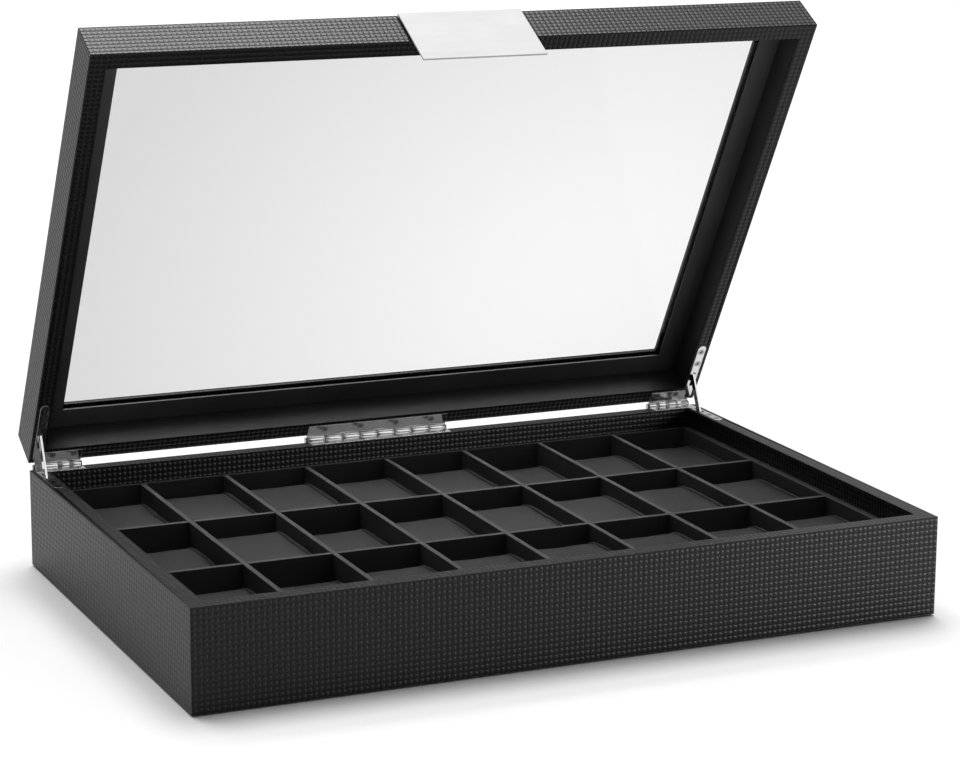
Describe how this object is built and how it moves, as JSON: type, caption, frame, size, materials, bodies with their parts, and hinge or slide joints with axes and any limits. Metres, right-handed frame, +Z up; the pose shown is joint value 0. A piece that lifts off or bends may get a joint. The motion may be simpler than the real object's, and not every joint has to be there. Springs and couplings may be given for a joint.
{
  "type": "watch box",
  "caption": "Long low display case with a divided tray of lift-out pillows for wristwatches under a framed glass lid on stayed hinges.",
  "frame": {"origin": "centre of the base's underside", "axes": "+X to the right along the long front, +Y to the back where the hinges are, +Z up; the lid is drawn propped open at 60.5 degrees"},
  "size_m": [0.47, 0.3402, 0.3544],
  "materials": {
    "woven_leatherette": "matte black leatherette pressed with a fine woven relief",
    "pillow_cover": "soft dark grey leatherette over a foam core, satin",
    "tray_leatherette": "smooth matte black leatherette over thin board",
    "smooth_leatherette": "smooth satin black leatherette",
    "felt": "black felt",
    "felt_pad": "thin black adhesive pad",
    "clear_glass": "clear flat glass",
    "satin_metal": "satin light metal",
    "polished_metal": "polished bright plating",
    "board": "fibreboard core, hidden by the wrap"
  },
  "bodies": {
    "base": {"bottom_felt": "felt", "bottom_panel": "board", "base_front_wall": "board", "base_back_wall": "board", "base_left_wall": "board", "base_right_wall": "board", "base_wrap": "woven_leatherette", "tray_floor": "tray_leatherette", "tray_liner": "tray_leatherette", "column_dividers": "tray_leatherette", "row_divider_front": "tray_leatherette", "row_divider_back": "tray_leatherette", "centre_hinge_base_leaf": "polished_metal", "left_hinge_base_leaf": "polished_metal", "right_hinge_base_leaf": "polished_metal", "hinge_pins": "polished_metal", "base_hinge_screws": "polished_metal"},
    "lid": {"lid_front_rail": "board", "lid_back_rail": "board", "lid_left_rail": "board", "lid_right_rail": "board", "lid_top_frame": "board", "lid_wrap": "woven_leatherette", "lid_lining": "smooth_leatherette", "glass_pane": "clear_glass", "glass_retainer": "smooth_leatherette", "pull_plate": "satin_metal", "plate_pad": "felt_pad", "centre_hinge_lid_leaf": "polished_metal", "left_hinge_lid_leaf": "polished_metal", "right_hinge_lid_leaf": "polished_metal", "stay_rivets": "polished_metal", "lid_hinge_screws": "polished_metal"},
    "left_stay": {"left_stay_arm": "polished_metal"},
    "right_stay": {"right_stay_arm": "polished_metal"},
    "pillow_back_1": {"pillow_back_1": "pillow_cover"},
    "pillow_back_2": {"pillow_back_2": "pillow_cover"},
    "pillow_back_3": {"pillow_back_3": "pillow_cover"},
    "pillow_back_4": {"pillow_back_4": "pillow_cover"},
    "pillow_back_5": {"pillow_back_5": "pillow_cover"},
    "pillow_back_6": {"pillow_back_6": "pillow_cover"},
    "pillow_back_7": {"pillow_back_7": "pillow_cover"},
    "pillow_back_8": {"pillow_back_8": "pillow_cover"},
    "pillow_middle_1": {"pillow_middle_1": "pillow_cover"},
    "pillow_middle_2": {"pillow_middle_2": "pillow_cover"},
    "pillow_middle_3": {"pillow_middle_3": "pillow_cover"},
    "pillow_middle_4": {"pillow_middle_4": "pillow_cover"},
    "pillow_middle_5": {"pillow_middle_5": "pillow_cover"},
    "pillow_middle_6": {"pillow_middle_6": "pillow_cover"},
    "pillow_middle_7": {"pillow_middle_7": "pillow_cover"},
    "pillow_middle_8": {"pillow_middle_8": "pillow_cover"},
    "pillow_front_1": {"pillow_front_1": "pillow_cover"},
    "pillow_front_2": {"pillow_front_2": "pillow_cover"},
    "pillow_front_3": {"pillow_front_3": "pillow_cover"},
    "pillow_front_4": {"pillow_front_4": "pillow_cover"},
    "pillow_front_5": {"pillow_front_5": "pillow_cover"},
    "pillow_front_6": {"pillow_front_6": "pillow_cover"},
    "pillow_front_7": {"pillow_front_7": "pillow_cover"},
    "pillow_front_8": {"pillow_front_8": "pillow_cover"}
  },
  "joints": [
    {"name": "lid_hinge", "type": "hinge", "parent": "base", "child": "lid", "pos_m": [0, 0.1615, 0.06215], "axis": [-1, 0, 0], "range_deg": [-60.5, 34.5]},
    {"name": "left_stay_pivot", "type": "hinge", "parent": "lid", "child": "left_stay", "pos_m": [-0.2294, 0.15108, 0.08452], "axis": [-1, 0, 0], "range_deg": [-16, 28]},
    {"name": "right_stay_pivot", "type": "hinge", "parent": "lid", "child": "right_stay", "pos_m": [0.2294, 0.15108, 0.08452], "axis": [-1, 0, 0], "range_deg": [-16, 28]},
    {"name": "pillow_back_1_lift", "type": "slide", "parent": "base", "child": "pillow_back_1", "axis": [0, 0, 1], "range_m": [0, 0.06]},
    {"name": "pillow_back_2_lift", "type": "slide", "parent": "base", "child": "pillow_back_2", "axis": [0, 0, 1], "range_m": [0, 0.06]},
    {"name": "pillow_back_3_lift", "type": "slide", "parent": "base", "child": "pillow_back_3", "axis": [0, 0, 1], "range_m": [0, 0.06]},
    {"name": "pillow_back_4_lift", "type": "slide", "parent": "base", "child": "pillow_back_4", "axis": [0, 0, 1], "range_m": [0, 0.06]},
    {"name": "pillow_back_5_lift", "type": "slide", "parent": "base", "child": "pillow_back_5", "axis": [0, 0, 1], "range_m": [0, 0.06]},
    {"name": "pillow_back_6_lift", "type": "slide", "parent": "base", "child": "pillow_back_6", "axis": [0, 0, 1], "range_m": [0, 0.06]},
    {"name": "pillow_back_7_lift", "type": "slide", "parent": "base", "child": "pillow_back_7", "axis": [0, 0, 1], "range_m": [0, 0.06]},
    {"name": "pillow_back_8_lift", "type": "slide", "parent": "base", "child": "pillow_back_8", "axis": [0, 0, 1], "range_m": [0, 0.06]},
    {"name": "pillow_middle_1_lift", "type": "slide", "parent": "base", "child": "pillow_middle_1", "axis": [0, 0, 1], "range_m": [0, 0.06]},
    {"name": "pillow_middle_2_lift", "type": "slide", "parent": "base", "child": "pillow_middle_2", "axis": [0, 0, 1], "range_m": [0, 0.06]},
    {"name": "pillow_middle_3_lift", "type": "slide", "parent": "base", "child": "pillow_middle_3", "axis": [0, 0, 1], "range_m": [0, 0.06]},
    {"name": "pillow_middle_4_lift", "type": "slide", "parent": "base", "child": "pillow_middle_4", "axis": [0, 0, 1], "range_m": [0, 0.06]},
    {"name": "pillow_middle_5_lift", "type": "slide", "parent": "base", "child": "pillow_middle_5", "axis": [0, 0, 1], "range_m": [0, 0.06]},
    {"name": "pillow_middle_6_lift", "type": "slide", "parent": "base", "child": "pillow_middle_6", "axis": [0, 0, 1], "range_m": [0, 0.06]},
    {"name": "pillow_middle_7_lift", "type": "slide", "parent": "base", "child": "pillow_middle_7", "axis": [0, 0, 1], "range_m": [0, 0.06]},
    {"name": "pillow_middle_8_lift", "type": "slide", "parent": "base", "child": "pillow_middle_8", "axis": [0, 0, 1], "range_m": [0, 0.06]},
    {"name": "pillow_front_1_lift", "type": "slide", "parent": "base", "child": "pillow_front_1", "axis": [0, 0, 1], "range_m": [0, 0.06]},
    {"name": "pillow_front_2_lift", "type": "slide", "parent": "base", "child": "pillow_front_2", "axis": [0, 0, 1], "range_m": [0, 0.06]},
    {"name": "pillow_front_3_lift", "type": "slide", "parent": "base", "child": "pillow_front_3", "axis": [0, 0, 1], "range_m": [0, 0.06]},
    {"name": "pillow_front_4_lift", "type": "slide", "parent": "base", "child": "pillow_front_4", "axis": [0, 0, 1], "range_m": [0, 0.06]},
    {"name": "pillow_front_5_lift", "type": "slide", "parent": "base", "child": "pillow_front_5", "axis": [0, 0, 1], "range_m": [0, 0.06]},
    {"name": "pillow_front_6_lift", "type": "slide", "parent": "base", "child": "pillow_front_6", "axis": [0, 0, 1], "range_m": [0, 0.06]},
    {"name": "pillow_front_7_lift", "type": "slide", "parent": "base", "child": "pillow_front_7", "axis": [0, 0, 1], "range_m": [0, 0.06]},
    {"name": "pillow_front_8_lift", "type": "slide", "parent": "base", "child": "pillow_front_8", "axis": [0, 0, 1], "range_m": [0, 0.06]}
  ],
  "couplings": [
    {"joint": "left_stay_pivot", "follows": "lid_hinge", "ratio": -0.452},
    {"joint": "right_stay_pivot", "follows": "lid_hinge", "ratio": -0.452}
  ]
}
